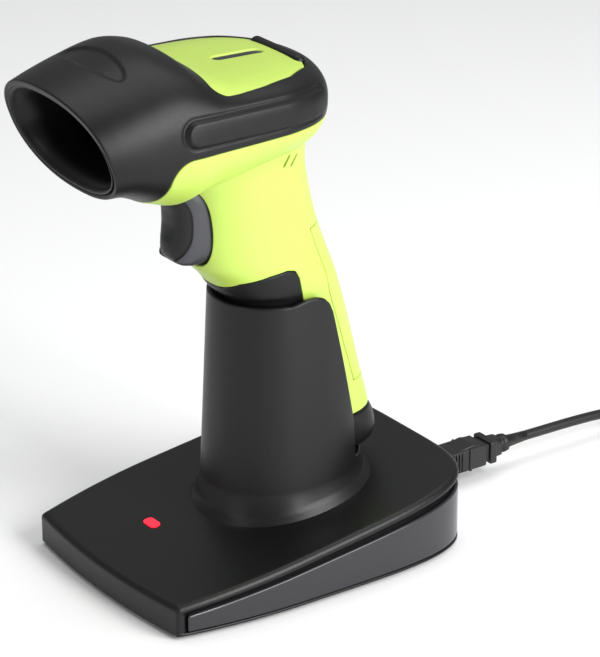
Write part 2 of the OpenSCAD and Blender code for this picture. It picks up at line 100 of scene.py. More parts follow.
def mouldedMaterial(name, look):
    # look: colour pair in hex, roughness pair, grain size in mm, grain height in mm, and shader values
    material = bpy.data.materials.new(name)
    material.use_nodes = True
    tree = material.node_tree
    shader = tree.nodes["Principled BSDF"]
    place = addNode(tree, "ShaderNodeTexCoord").outputs["Object"]
    fine = {"Vector": place, "Scale": 1 / (look["grain"] * mm), "Detail": 3.0}
    grain = addNode(tree, "ShaderNodeTexNoise", fine)
    cloud = addNode(tree, "ShaderNodeTexNoise", {"Vector": place, "Scale": 45.0, "Detail": 2.0})
    # sockets 6 and 7 are the two colours, and output 2 is the mixed one
    tone = addNode(tree, "ShaderNodeMix", data_type="RGBA")
    tone.inputs[6].default_value = toLinear(look["colours"][0])
    tone.inputs[7].default_value = toLinear(look["colours"][1])
    tree.links.new(cloud.outputs["Fac"], tone.inputs[0])
    tree.links.new(tone.outputs[2], shader.inputs["Base Color"])
    low, high = look["roughness"]
    rough = addNode(
        tree,
        "ShaderNodeMapRange",
        {"Value": grain.outputs["Fac"], "From Min": 0.3, "From Max": 0.7, "To Min": low, "To Max": high},
    )
    tree.links.new(rough.outputs["Result"], shader.inputs["Roughness"])
    if look["height"] > 0:
        bump = addNode(
            tree,
            "ShaderNodeBump",
            {"Height": grain.outputs["Fac"], "Strength": 0.4, "Distance": look["height"] * mm},
        )
        tree.links.new(bump.outputs["Normal"], shader.inputs["Normal"])
    for socket, value in look.get("shader", {}).items():
        shader.inputs[socket].default_value = value
    return material


finishes = {
    # ABS moulded in a spark-eroded tool: even dull sheen, fine grain
    "mouldedAbsBlack": dict(colours=("#0d0d0e", "#111112"), roughness=(0.32, 0.42), grain=0.55, height=0.04,
                            shader={"IOR": 1.53, "Specular IOR Level": 0.3}),
    # polished ABS wedge: smoother and glossier than the plate above it
    "polishedAbsGrey": dict(colours=("#26262a", "#28282c"), roughness=(0.2, 0.21), grain=8.0, height=0.0,
                            shader={"IOR": 1.53}),
    # ABS coloured yellow-green in the mass, satin from the tool
    "mouldedAbsGreen": dict(colours=("#b4cf58", "#b9d45e"), roughness=(0.34, 0.46), grain=0.6, height=0.03,
                            shader={"IOR": 1.53, "Subsurface Weight": 0.06, "Subsurface Scale": 0.002}),
    # overmoulded thermoplastic rubber: soft wide highlights
    "rubberBumper": dict(colours=("#0c0c0d", "#101011"), roughness=(0.36, 0.46), grain=0.5, height=0.04,
                         shader={"IOR": 1.5, "Specular IOR Level": 0.28}),
    # the same rubber at the grip, a little smoother from the hand
    "rubberGrip": dict(colours=("#0a0a0b", "#0e0e0f"), roughness=(0.38, 0.5), grain=0.5, height=0.05,
                       shader={"IOR": 1.5, "Specular IOR Level": 0.3}),
    # glass-filled nylon of the trigger, semi-gloss; its greyer colour is painted light on the rim and boss,
    # where the nylon itself is as black as the pad
    "nylonTriggerPaintedLight": dict(colours=("#2e2e34", "#35353b"), roughness=(0.32, 0.42), grain=0.6, height=0.03,
                         shader={"IOR": 1.53}),
    "nylonTriggerPad": dict(colours=("#0a0a0b", "#0e0e10"), roughness=(0.35, 0.48), grain=0.6, height=0.04,
                            shader={"IOR": 1.53, "Specular IOR Level": 0.35}),
    # dark polycarbonate over the indicator lamp
    "darkPolycarbonate": dict(colours=("#0b0b0d", "#101012"), roughness=(0.1, 0.16), grain=3.0, height=0.0,
                              shader={"IOR": 1.58}),
    # flexible PVC on the lead and its plugs
    "flexiblePvc": dict(colours=("#0c0c0d", "#101011"), roughness=(0.38, 0.48), grain=0.8, height=0.03,
                        shader={"IOR": 1.53}),
    # natural black rubber feet
    "solidRubber": dict(colours=("#101011", "#161617"), roughness=(0.6, 0.75), grain=0.8, height=0.06,
                        shader={"IOR": 1.52}),
    # zinc-plated steel: screws, pin, spring, ballast
    "zincPlatedSteel": dict(colours=("#b9bcc0", "#c8cacd"), roughness=(0.25, 0.4), grain=0.7, height=0.01,
                            shader={"Metallic": 1.0}),
    # hard gold over nickel on the contacts
    "goldPlate": dict(colours=("#e0b45a", "#e8c070"), roughness=(0.18, 0.28), grain=0.8, height=0.0,
                      shader={"Metallic": 1.0}),
    # glass-fibre board under green solder mask
    "solderMask": dict(colours=("#0d4a26", "#125a30"), roughness=(0.25, 0.4), grain=0.9, height=0.03,
                       shader={"IOR": 1.55}),
    # shrink sleeve on the battery cell
    "shrinkSleeve": dict(colours=("#1d4f94", "#2459a3"), roughness=(0.22, 0.32), grain=2.5, height=0.02,
                         shader={"IOR": 1.54}),
    # die-cast body of the scan engine, painted
    "paintedZinc": dict(colours=("#2a2a2f", "#34343a"), roughness=(0.4, 0.55), grain=0.6, height=0.03,
                        shader={"IOR": 1.5}),
    # red nylon plunger
    "redNylon": dict(colours=("#a8201c", "#b52a24"), roughness=(0.35, 0.45), grain=0.6, height=0.02,
                     shader={"IOR": 1.53}),
    # tinted acrylic window in front of the engine
    "tintedAcrylic": dict(colours=("#1a0508", "#22070b"), roughness=(0.05, 0.09), grain=4.0, height=0.0,
                          shader={"IOR": 1.49}),
    # coated optical glass
    "coatedGlass": dict(colours=("#1a2440", "#22304e"), roughness=(0.03, 0.06), grain=4.0, height=0.0,
                        shader={"IOR": 1.52, "Coat Weight": 1.0}),
    # frosted red acrylic with the lamp on behind it
    "litRedAcrylic": dict(colours=("#ff2038", "#ff3048"), roughness=(0.2, 0.3), grain=1.5, height=0.0,
                          shader={"IOR": 1.49, "Emission Color": toLinear("#ff1a2c"),
                                  "Emission Strength": 1.1}),
}
materials = {name: mouldedMaterial(name, look) for name, look in finishes.items()}
print("materials made")

# shared shaping


def placed(points):
    # from millimetres about the base's centre to metres in the frame
    out = np.array(points, dtype=float)
    out[:, 1] += shiftY
    return out * mm


def smoothTable(rows, at):
    # monotone cubic through the rows, whose first column is the place
    rows = np.asarray(rows, dtype=float)
    at = np.clip(np.asarray(at, dtype=float), rows[0, 0], rows[-1, 0])
    knots, values = rows[:, 0], rows[:, 1:]
    step = np.diff(knots)[:, None]
    slope = np.diff(values, axis=0) / step
    tangent = np.zeros_like(values)
    first, second = 2 * step[1:] + step[:-1], step[1:] + 2 * step[:-1]
    same = slope[:-1] * slope[1:] > 0
    with np.errstate(divide="ignore", invalid="ignore"):
        mean = (first + second) / (first / slope[:-1] + second / slope[1:])
    tangent[1:-1] = np.where(same, mean, 0)
    tangent[0], tangent[-1] = slope[0], slope[-1]
    k = np.clip(np.searchsorted(knots, at, side="right") - 1, 0, len(knots) - 2)
    h = step[k, 0]
    t = ((at - knots[k]) / h)[:, None]
    h = h[:, None]
    return (
        (2 * t**3 - 3 * t**2 + 1) * values[k]
        + (t**3 - 2 * t**2 + t) * h * tangent[k]
        + (-2 * t**3 + 3 * t**2) * values[k + 1]
        + (t**3 - t**2) * h * tangent[k + 1]
    )


def squareRound(turn, square):
    # point of a rounded square outline in that direction; 2 is a circle, and more is squarer
    c, s = np.cos(turn), np.sin(turn)
    reach = (np.abs(c) ** square + np.abs(s) ** square) ** (-1 / square)
    return reach * c, reach * s


def softStep(value):
    t = np.clip(value, 0, 1)
    return t * t * (3 - 2 * t)


def polygonField(a, b, outline, radius=0.0):
    # distance to a closed outline, positive outside; a radius swells the outline
    outline = np.asarray(outline, dtype=float)
    points = np.stack([a, b], axis=1)
    best = np.full(len(points), 1e9)
    inside = np.zeros(len(points), dtype=bool)
    for i in range(len(outline)):
        p, q = outline[i], outline[(i + 1) % len(outline)]
        d = q - p
        t = np.clip(((points - p) @ d) / (d @ d), 0, 1)
        best = np.minimum(best, np.linalg.norm(points - p - t[:, None] * d, axis=1))
        crosses = (p[1] > points[:, 1]) != (q[1] > points[:, 1])
        with np.errstate(divide="ignore", invalid="ignore"):
            cut = (q[0] - p[0]) * (points[:, 1] - p[1]) / (q[1] - p[1]) + p[0]
        inside ^= crosses & (points[:, 0] < cut)
    return np.where(inside, -best, best) - radius


def segmentField(a, b, start, end):
    start, end = np.asarray(start, dtype=float), np.asarray(end, dtype=float)
    points = np.stack([a, b], axis=1)
    d = end - start
    t = np.clip(((points - start) @ d) / (d @ d), 0, 1)
    return np.linalg.norm(points - start - t[:, None] * d, axis=1)


def normalsOf(surface, u, v):
    # outward normals of a surface given as a function of its two parameters
    small = 0.0008
    du = surface(u + small, v) - surface(u - small, v)
    dv = surface(u, v + small) - surface(u, v - small)
    n = np.cross(dv, du)
    size = np.linalg.norm(n, axis=1, keepdims=True)
    return n / np.maximum(size, 1e-12)


def meshObject(name, points, faces, material, smooth=True):
    mesh = bpy.data.meshes.new(name)
    mesh.from_pydata([tuple(p) for p in points], [], faces)
    mesh.validate()
    made = bpy.data.objects.new(name, mesh)
    scene.collection.objects.link(made)
    if smooth:
        mesh.shade_smooth()
    if material:
        mesh.materials.append(material)
    return made


def panel(name, surface, sizeU, sizeV, material, keep=None, lip=0.5, wall=1.6, rangeU=(0.0, 1.0)):
    # A moulded skin with real thickness. surface(u, v) gives points in mm, v goes once round.
    # keep(points) is the distance inside the panel's edge, and lip is the edge's rounding.
    us = np.linspace(rangeU[0], rangeU[1], sizeU)
    vs = np.arange(sizeV) / sizeV
    u = np.repeat(us, sizeV)
    v = np.tile(vs, sizeU)
    points = surface(u, v)
    field = keep(points) - lip if keep else np.ones(len(points))
    field = np.where(np.abs(field) < 1e-6, 1e-6, field)

    def around(i, j):
        return i * sizeV + j % sizeV

    def between(p, q, t):
        vq = v[q]
        if vq - v[p] > 0.5:
            vq -= 1
        elif vq - v[p] < -0.5:
            vq += 1
        return u[p] + (u[q] - u[p]) * t, v[p] + (vq - v[p]) * t

    moved = {}
    if keep:
        for i in range(sizeU):
            for j in range(sizeV):
                p = around(i, j)
                best = None
                nextTo = [around(i, j + 1), around(i, j - 1)]
                nextTo += [around(i + 1, j)] if i + 1 < sizeU else []
                nextTo += [around(i - 1, j)] if i > 0 else []
                for q in nextTo:
                    if (field[p] > 0) != (field[q] > 0):
                        t = field[p] / (field[p] - field[q])
                        if t < 0.3 and (best is None or t < best[0]):
                            best = (t, q)
                if best:
                    moved[p] = between(p, best[1], best[0])
        for p, (a, b) in moved.items():
            u[p], v[p] = a, b
            field[p] = 0.0

    extraU, extraV, made = [], [], {}

    def crossing(p, q):
        key = (min(p, q), max(p, q))
        if key not in made:
            a, b = key
            t = field[a] / (field[a] - field[b])
            cu, cv = between(a, b, t)
            extraU.append(cu)
            extraV.append(cv)
            made[key] = len(u) + len(extraU) - 1
        return made[key]

    faces = []
    for i in range(sizeU - 1):
        for j in range(sizeV):
            corners = [around(i, j), around(i, j + 1), around(i + 1, j + 1), around(i + 1, j)]
            values = [field[c] for c in corners]
            if max(values) <= 0:
                continue
            if min(values) >= 0:
                faces.append(corners)
                continue
            ring = []
            for k in range(4):
                p, q = corners[k], corners[(k + 1) % 4]
                if field[p] >= 0:
                    ring.append(p)
                if (field[p] > 0 and field[q] < 0) or (field[p] < 0 and field[q] > 0):
                    ring.append(crossing(p, q))
            if len(ring) > 2:
                faces.append(ring)
    u = np.concatenate([u, extraU])
    v = np.concatenate([v, extraV])
    used = sorted({c for f in faces for c in f})
    index = {c: k for k, c in enumerate(used)}
    u, v = u[used], v[used]
    faces = [[index[c] for c in f] for f in faces]
    points = surface(u, v)
    normals = normalsOf(surface, u, v)

    # rounded edge all along the boundary, then the wall's thickness and the inner skin
    edges = {}
    for f in faces:
        for k in range(len(f)):
            edges[(f[k], f[(k + 1) % len(f)])] = True
    rim = [(a, b) for (a, b) in edges if (b, a) not in edges]
    out = np.zeros_like(points)
    for a, b in rim:
        t = points[b] - points[a]
        size = np.linalg.norm(t)
        if size < 1e-9:
            continue
        d = np.cross(t / size, (normals[a] + normals[b]) / 2)
        out[a] += d
        out[b] += d
    for _ in range(2):
        smoother = out.copy()
        for a, b in rim:
            smoother[a] += 0.5 * out[b]
            smoother[b] += 0.5 * out[a]
        out = smoother
    rimPoints = sorted({a for e in rim for a in e})
    for a in rimPoints:
        out[a] -= normals[a] * (out[a] @ normals[a])
        out[a] /= max(np.linalg.norm(out[a]), 1e-9)
    allPoints = [points]
    allFaces = list(faces)
    total = len(points)
    before = {a: a for a in rimPoints}
    rows = [(math.sin(t), 1 - math.cos(t)) for t in (math.radians(30), math.radians(60), math.radians(90))]
    rows.append((1.0, wall / lip))
    for side, down in rows:
        row = points[rimPoints] + out[rimPoints] * lip * side - normals[rimPoints] * lip * down
        allPoints.append(row)
        now = {a: total + k for k, a in enumerate(rimPoints)}
        total += len(rimPoints)
        allFaces += [[before[b], before[a], now[a], now[b]] for a, b in rim]
        before = now
    inner = points - normals * wall
    allPoints.append(inner)
    allFaces += [[total + c for c in f[::-1]] for f in faces]
    allFaces += [[before[b], before[a], total + a, total + b] for a, b in rim]
    return meshObject(name, placed(np.concatenate(allPoints)), allFaces, material)


def loftRings(name, rings, material, closed=(False, False)):
    # a skin over a stack of rings, with fans that close its ends
    n = len(rings[0])
    points = [p for ring in rings for p in ring]
    faces = []
    for j in range(len(rings) - 1):
        for i in range(n):
            a, b = j * n + i, j * n + (i + 1) % n
            faces.append([a, b, b + n, a + n])
    for end, at in ((0, 0), (1, (len(rings) - 1) * n)):
        if closed[end]:
            points.append(np.mean(rings[-end], axis=0))
            middle = len(points) - 1
            for i in range(n):
                tri = [middle, at + (i + 1) % n, at + i]
                faces.append(tri if end == 0 else tri[::-1])
    return meshObject(name, placed(np.array(points)), faces, material)


def finished(piece, body, slot, *nodes):
    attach(piece, body)
    if nodes:
        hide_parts(*nodes)
    return piece


def sweptTube(name, route, radius, sides, material):
    # tube along points in metres, its ends closed
    route = [Vector(p) for p in route]
    points, faces = [], []
    side = None
    for i, p in enumerate(route):
        along = (route[min(i + 1, len(route) - 1)] - route[max(i - 1, 0)]).normalized()
        if side is None:
            side = along.cross(Vector((0, 0, 1))).normalized()
        side = (side - along * side.dot(along)).normalized()
        up = side.cross(along)
        for k in range(sides):
            turn = 2 * math.pi * k / sides
            points.append(tuple(p + radius * (math.cos(turn) * side + math.sin(turn) * up)))
    for j in range(len(route) - 1):
        for k in range(sides):
            a, b = j * sides + k, j * sides + (k + 1) % sides
            faces.append([a, a + sides, b + sides, b])
    faces.append(list(range(sides)))
    faces.append([(len(route) - 1) * sides + k for k in reversed(range(sides))])
    return meshObject(name, points, faces, material)


def smoothRoute(points, each):
    # Catmull-Rom through the points, each gap in that many steps
    points = [np.array(p, dtype=float) for p in points]
    out = []
    for i in range(len(points) - 1):
        p0, p1 = points[max(i - 1, 0)], points[i]
        p2, p3 = points[i + 1], points[min(i + 2, len(points) - 1)]
        for k in range(each):
            t = k / each
            out.append(
                0.5 * (2 * p1 + (p2 - p0) * t + (2 * p0 - 5 * p1 + 4 * p2 - p3) * t**2
                       + (3 * p1 - p0 - 3 * p2 + p3) * t**3)
            )
    out.append(points[-1])
    return out


# lead, first of the pieces

lead = {
    "diameter": 3.4,
    "route": [
        (0, 112, 8.8), (0, 120, 8.8), (0, 128, 8.7), (0, 136, 8.6), (0, 144, 8.4), (0, 152, 8.0),
        (0, 160, 7.2), (0, 168, 6.0), (0, 176, 4.5), (0, 184, 3.1), (0, 192, 2.2), (0, 200, 1.8),
    ],
    "coilCentre": (27.0, 208.0),
    "radii": (27.0, 23.7, 20.4, 17.1, 13.8),
    "layers": (1.7, 5.1),
    "perTurn": 40,
    "tail": [
        (27, 235, 5.1), (34, 235, 4.4), (41, 234.4, 3.0), (48, 231.8, 2.0), (54, 227.6, 1.7),
        (59, 221.8, 1.7), (62.2, 215, 2.1), (63.4, 208, 3.2), (63.5, 201, 4.2),
    ],
}


def leadPath(size):
    # down to the floor, in along the lower layer, up, out along the upper, and on to the plug
    cx, cy = size["coilCentre"]
    radii, (low, high) = size["radii"], size["layers"]
    path = smoothRoute(size["route"], 3)[:-1]
    turns = []
    perTurn = size["perTurn"]
    # clockwise from the left of the coil, where the lead comes in heading away
    spans = [(r, low) for r in radii] + [(r, high) for r in radii[::-1]]
    for k, (r, z) in enumerate(spans):
        nextR, nextZ = spans[k + 1] if k + 1 < len(spans) else (r, z)
        for i in range(perTurn):
            t = i / perTurn
            blend = float(softStep((t - 0.7) / 0.3))
            turns.append((180 - 360 * (k + t), r + (nextR - r) * blend, z + (nextZ - z) * blend))
    lastR, lastZ = spans[-1]
    quarter = perTurn // 4
    for i in range(quarter):
        turns.append((180 - 360 * len(spans) - 90 * i / quarter, lastR, lastZ))
    for angle, r, z in turns:
        a = math.radians(angle)
        path.append(np.array((cx + r * math.cos(a), cy + r * math.sin(a), z)))
    path += smoothRoute(size["tail"], 3)
    return [p * mm for p in path]


leadPoints = leadPath(lead)
leadTube = sweptTube("lead_run", leadPoints, lead["diameter"] * mm / 2, 12, materials["flexiblePvc"])


def finishLead(tube):
    finished(tube, "cradle", "lead_pvc", "lead_cable", "lead_coil", "lead_tail")


finishLead(leadTube)

# light and floor


def makeFloor():
    mesh = bpy.data.meshes.new("floor")
    mesh.from_pydata([(-6, -6, 0), (6, -6, 0), (6, 6, 0), (-6, 6, 0)], [], [(0, 1, 2, 3)])
    floor = bpy.data.objects.new("floor", mesh)
    scene.collection.objects.link(floor)
    # matte white card
    card = bpy.data.materials.new("whiteCard")
    card.use_nodes = True
    card.node_tree.nodes["Principled BSDF"].inputs["Base Color"].default_value = toLinear("#f4f4f4")
    card.node_tree.nodes["Principled BSDF"].inputs["Roughness"].default_value = 0.9
    mesh.materials.append(card)


def softbox(name, place, target, size, power):
    data = bpy.data.lights.new(name, "AREA")
    data.shape = "RECTANGLE"
    data.size, data.size_y = size
    data.energy = power
    lamp = bpy.data.objects.new(name, data)
    lamp.location = place
    lamp.rotation_euler = (Vector(target) - Vector(place)).to_track_quat("-Z", "Y").to_euler()
    scene.collection.objects.link(lamp)
    return lamp


softboxes = {
    # metres towards the viewer, to the right and up from the middle; width and height; watts
    "keyLight": ((0.5, 0.8, 0.5), (0.45, 0.8), 11),
    # narrow, for the upright glow on the tower and the hood's edges
    "stripLight": ((0.75, 0.6, 0.2), (0.1, 0.8), 5),
    "topLight": ((-0.25, 0, 1.1), (1.2, 0.9), 7),
    "fillLight": ((0.7, -0.9, 0.35), (0.5, 1.1), 2),
}


def makeLight():
    middle = Vector((0.0, 0.0, 0.1))
    front = Vector((viewBack.x, viewBack.y, 0)).normalized()
    for name, ((near, side, up), size, power) in softboxes.items():
        place = middle + front * near + viewRight * side + Vector((0, 0, up))
        softbox(name, place, middle, size, power)
    world = bpy.data.worlds.new("paleRoom")
    world.use_nodes = True
    backdrop = world.node_tree.nodes["Background"]
    backdrop.inputs["Color"].default_value = (0.97, 0.98, 1.0, 1)
    backdrop.inputs["Strength"].default_value = 0.33
    scene.world = world
    scene.view_settings.view_transform = "Standard"


makeFloor()
makeLight()
print("light and floor made")

# finishes on the frame's own pieces

nodeFinish = {
    "mouldedAbsBlack": ["base_bottom_plate", "base_top_shell", "cradle_tower", "contact_block", "side_band",
                        "engine_bracket", "buzzer"],
    "litRedAcrylic": ["status_led_lens"],
    "goldPlate": ["contact_pins", "charge_pads"],
    "solderMask": ["cradle_circuit_board", "head_circuit_board"],
    "zincPlatedSteel": ["lead_socket", "ballast_plate", "base_screws", "board_screws", "trigger_pin",
                        "trigger_spring", "usb_plug_shell"],
    "solidRubber": ["rubber_feet"],
    "rubberBumper": ["nose_hood", "end_cap"],
    "mouldedAbsGreen": ["top_cover", "handle_shell", "rear_cover"],
    "darkPolycarbonate": ["indicator_lens"],
    "tintedAcrylic": ["scan_window"],
    "paintedZinc": ["scan_engine", "trigger_switch"],
    "coatedGlass": ["engine_lens"],
    "rubberGrip": ["grip_panel"],
    "shrinkSleeve": ["battery"],
    # the trigger gets the grey of painted light on its rim
    "nylonTriggerPaintedLight": ["trigger"],
    "redNylon": ["switch_plunger"],
    "flexiblePvc": ["lead_plug", "usb_plug_grip", "lead_tie", "lead_cable", "lead_coil", "lead_tail"],
}


def dressNode(node, material):
    mesh = node.data
    mesh.materials.clear()
    mesh.materials.append(material)
    for face in mesh.polygons:
        face.material_index = 0


for finish, names in nodeFinish.items():
    for name in names:
        dressNode(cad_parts[name], materials[finish])
print("frame dressed")


# forms in mm about the base's centre

headRows = [
    # along, half width, middle, rise, drop, squareness of the upper half
    [-69.8, 29.2, 154.4, 17.2, 17.6, 2.25], [-64, 30.4, 155, 19, 18.4, 2.25],
    [-56, 31.6, 155.6, 21.4, 21, 2.25], [-47, 32.4, 156.2, 23.4, 24.6, 2.25],
    [-39, 33, 157, 21.2, 27.4, 2.3], [-31, 33, 158, 14.6, 26, 2.7], [-22, 33, 158, 11.8, 24, 3.2],
    [-10, 32.8, 158, 11.4, 21, 3.3], [0, 31, 158, 11.1, 19.6, 3.1], [7, 27.6, 158, 10.4, 17.6, 2.8],
    [12, 22.6, 158, 9.4, 15, 2.5], [15.6, 15.6, 158, 7.8, 12, 2.3], [17.2, 8, 158, 6, 8.4, 2.2],
    [17.6, 0.2, 158, 0.2, 0.2, 2.2],
]
handleRows = [
    # height, front, rear, half width
    [32, 5.4, 42, 14.6], [40, 3.2, 41.6, 15], [60, -3, 36.6, 16], [76, -8, 32.4, 16.4],
    [88, -11.4, 29, 16.6], [90.8, -11.9, 28, 16.8], [93, -14.6, 27.4, 17], [98, -18.3, 25.6, 17],
    [104, -23.4, 23.4, 16.6], [111, -25, 20.8, 16.2], [119, -25.6, 18.4, 16.2],
    [127, -27, 16.6, 16.4], [134, -31, 15.6, 16.8], [140, -37, 15.8, 18], [146, -41, 16.4, 20],
]
towerRows = [
    # height, growth, share of the base's slope
    [19.25, 3.2, 1], [20.45, 2.3, 1], [21.15, 1.8, 1], [22.85, 1.0, 0.8], [27.25, 0.15, 0.4],
    [45, 0, 0], [70, 0, 0], [93, 0, 0],
]


def withChord(rows):
    rows = np.array(rows, dtype=float)
    steps = np.linalg.norm(np.diff(rows[:, :5], axis=0), axis=1)
    chord = np.concatenate([[0], np.cumsum(steps)])
    return np.column_stack([chord / chord[-1], rows])


headTable = withChord(headRows)


def headSurface(u, v, inset=0.0):
    s, hw, middle, rise, drop, square = smoothTable(headTable, u).T
    a = -2 * math.pi * v
    cx, cz = squareRound(a, np.where(np.sin(a) > 0, square, 2.25))
    up, down = np.maximum(rise - inset, 0.05), np.maximum(drop - inset, 0.05)
    height = np.where(cz > 0, up, down) * cz
    tip = 0.38 * np.clip((-48 - s) / 23, 0, 1)
    return np.column_stack([np.maximum(hw - inset, 0.05) * cx, s - tip * height, middle + height])


def handleSurface(u, v):
    z = 45 + (146 - 45) * u
    front, rear, hw = smoothTable(handleRows, z).T
    cx, cy = squareRound(2 * math.pi * v, 2.3)
    return np.column_stack([hw * cx, (front + rear) / 2 + (rear - front) / 2 * cy, z])


tower = {"middle": 9.6, "foot": (23.4, 26.6), "rim": (20.3, 23.7), "rimHeight": 90.0, "slope": 0.13136,
         "lip": 0.55, "wall": 1.6, "floor": (28.7, 31.1), "floorHalf": (21.6, 25.0), "openMiddle": 25.0,
         "openHalf": (10.6, 7.6)}


def towerSurface(u, v):
    z0 = 19.25 + (93 - 19.25) * np.maximum(u, 0) ** 1.6
    grow, lean = smoothTable(towerRows, z0).T
    t = (z0 - 20) / (tower["rimHeight"] - 20)
    rx = tower["foot"][0] + (tower["rim"][0] - tower["foot"][0]) * t + grow
    ry = tower["foot"][1] + (tower["rim"][1] - tower["foot"][1]) * t + grow
    cx, cy = squareRound(2 * math.pi * v, 2.15)
    x, y = rx * cx, tower["middle"] + ry * cy
    return np.column_stack([x, y, z0 + 1 + lean * tower["slope"] * (y - tower["middle"])])


def raised(surface, height):
    def moved(u, v):
        points = surface(u, v)
        return points + normalsOf(surface, u, v) * height(points)[:, None]

    return moved


def hullOfBalls(name, balls, material, sides=48, rows=24):
    # smooth skin round a few balls, each (x, y, z, radius)
    rings = []
    balls = np.array(balls, dtype=float)
    for i in range(1, rows):
        rise = math.pi * (i / rows - 0.5)
        ring = []
        for k in range(sides):
            turn = 2 * math.pi * k / sides
            d = np.array([math.cos(rise) * math.cos(turn), math.cos(rise) * math.sin(turn), math.sin(rise)])
            best = balls[np.argmax(balls[:, :3] @ d + balls[:, 3])]
            ring.append(best[:3] + best[3] * d)
        rings.append(ring)
    return loftRings(name, rings, material, (True, True))


def cornerBalls(low, high, radius):
    # balls in the corners of a box, for its rounded form
    return [
        (x, y, z, radius)
        for x in (low[0] + radius, high[0] - radius)
        for y in (low[1] + radius, high[1] - radius)
        for z in (low[2] + radius, high[2] - radius)
    ]


def joined(name, parts):
    bpy.ops.object.select_all(action="DESELECT")
    for part in parts:
        part.select_set(True)
    bpy.context.view_layer.objects.active = parts[0]
    bpy.ops.object.join()
    parts[0].name = name
    parts[0].data.name = name
    return parts[0]


def outward(piece):
    form = bmesh.new()
    form.from_mesh(piece.data)
    bmesh.ops.remove_doubles(form, verts=form.verts, dist=1e-7)
    bmesh.ops.recalc_face_normals(form, faces=form.faces)
    form.to_mesh(piece.data)
    form.free()
    return piece


greenOutline = [(30, 20), (30, 153.2)]
greenOutline += [
    (-42.4 + 6.6 * math.cos(math.radians(a)), 145 + 6.6 * math.sin(math.radians(a)))
    for a in range(90, 181, 9)
]
greenOutline += [(-49, 120), (-30, 100), (-30, 20)]
coverOutline = [
    (-23.6, -27.4), (-12, -26.4), (0, -25.8), (12, -26.4), (23.6, -27.4), (22, -14), (19.6, -4),
    (14.4, 4.4), (9, 7), (-9, 7), (-14.4, 4.4), (-19.6, -4), (-22, -14),
]
gripOutline = [
    (-24, 93.6), (-16.4, 96.2), (-13.6, 98.6), (-5.4, 100.6), (1, 101.3), (4, 100.6), (5.4, 98),
    (7, 90), (24, 40), (-24, 40),
]
rearOutline = [(50, 56), (29, 56), (18.2, 90), (17.4, 96), (14, 106), (12, 112), (50, 112)]
rimOutline = [
    (-60, 90), (1, 90), (6, 91.2), (10, 91.3), (13, 90.4), (15.2, 88.2), (16.6, 85), (26.6, 44),
    (26.6, 33), (27.4, 31.6), (29, 31.1), (60, 31.1), (60, 130), (-60, 130),
]

# hood

hood = {
    "wall": 2.0,
    "lip": 0.45,
    "ribStart": (-41.8, 159.4),
    "ribEnd": (3.8, 159.4),
    "ribHalf": 4.1,
    "ribHeight": 1.1,
    "badgeMiddle": (0.0, -57.5),
    "badgeHalf": (17.5, 4.5),
    "badgeDepth": 0.7,
    "lipBar": [(-11, 10.4, 162, 2.8), (11, 10.4, 162, 2.8), (-11, 9, 166.6, 2.2), (11, 9, 166.6, 2.2)],
    "funnel": [
        # along, half width, middle, rise, drop
        [-69.6, 27.0, 154.4, 15.0, 15.4], [-68.6, 26.4, 154.5, 14.3, 14.7],
        [-67.0, 25.9, 154.8, 13.9, 14.3],
        [-66.4, 25.0, 154.8, 13.0, 13.4], [-60, 24.6, 155.4, 12.7, 12.9], [-55, 24, 156, 12.4, 12.4],
        [-45, 22.4, 156.4, 10.4, 10.4],
    ],
}


def hoodHeight(points):
    x, y, z = points.T
    rib = segmentField(y, z, hood["ribStart"], hood["ribEnd"]) - hood["ribHalf"]
    up = hood["ribHeight"] * softStep(-rib / 1.0)
    groove = -0.5 * np.exp(-(((rib - 0.5) / 0.45) ** 2))
    badgeX, badgeY = hood["badgeMiddle"]
    halfX, halfY = hood["badgeHalf"]
    away = np.hypot((x - badgeX) / halfX, (y - badgeY) / halfY)
    badge = -hood["badgeDepth"] * softStep((1 - away) / 0.12) * (z > 165)
    return up + groove + badge


def hoodKeep(points):
    x, y, z = points.T
    seam = polygonField(y, z, greenOutline) - 0.1
    cover = np.where(z > 163, polygonField(x, y, coverOutline, 4.15), 50)
    return np.minimum(seam, cover)


def funnelRings(size, grow):
    rings = []
    for s, hw, middle, rise, drop in size["funnel"]:
        ring = []
        tip = 0.38 * min(max((-48 - s) / 23, 0), 1)
        for k in range(96):
            cx, cz = squareRound(2 * math.pi * k / 96, 2.25)
            height = ((rise if cz > 0 else drop) + grow) * cz
            ring.append(np.array([(hw + grow) * cx, s - tip * height, middle + height]))
        rings.append(ring)
    return rings


def makeHood(size):
    material = materials["rubberBumper"]
    skin = panel("hoodSkin", raised(headSurface, hoodHeight), 212, 344, material, hoodKeep, size["lip"],
                 size["wall"], rangeU=(0.004, 1.0))
    bar = hullOfBalls("lipBar", size["lipBar"], material)
    inner = funnelRings(size, 0.0)
    outer = funnelRings(size, 0.5)
    rings = inner + outer[::-1] + inner[:1]
    funnel = outward(loftRings("funnel", rings, materials["rubberBumper"]))
    return joined("hood", [skin, bar, funnel])


finished(makeHood(hood), "scanner", "bumper", "nose_hood")
print("hood made")

# top cover and its lamp lens

cover = {
    "inset": 0.5,
    "lensInset": 0.95,
    "slotStart": (0, -13),
    "slotEnd": (0, 1),
    "slotRadius": 1.9,
    # start and reach along the head, then round it, of the patch that each is cut from
    "patch": (0.36, 0.6, 0.5, 0.5),
    "lensPatch": (0.45, 0.45, 0.62, 0.26),
}


def headPatch(u, v, patch, inset):
    start, reach, turnStart, turnReach = patch
    return headSurface(start + reach * u, turnStart + turnReach * v, inset)


def coverSurface(u, v):
    return headPatch(u, v, cover["patch"], cover["inset"])


def coverKeep(points):
    x, y, z = points.T
    edge = -polygonField(x, y, coverOutline, 3.85)
    slot = segmentField(x, y, cover["slotStart"], cover["slotEnd"]) - cover["slotRadius"] - 0.1
    return np.where(z > 162, np.minimum(edge, slot), -5)


def lensSurface(u, v):
    return headPatch(u, v, cover["lensPatch"], cover["lensInset"])


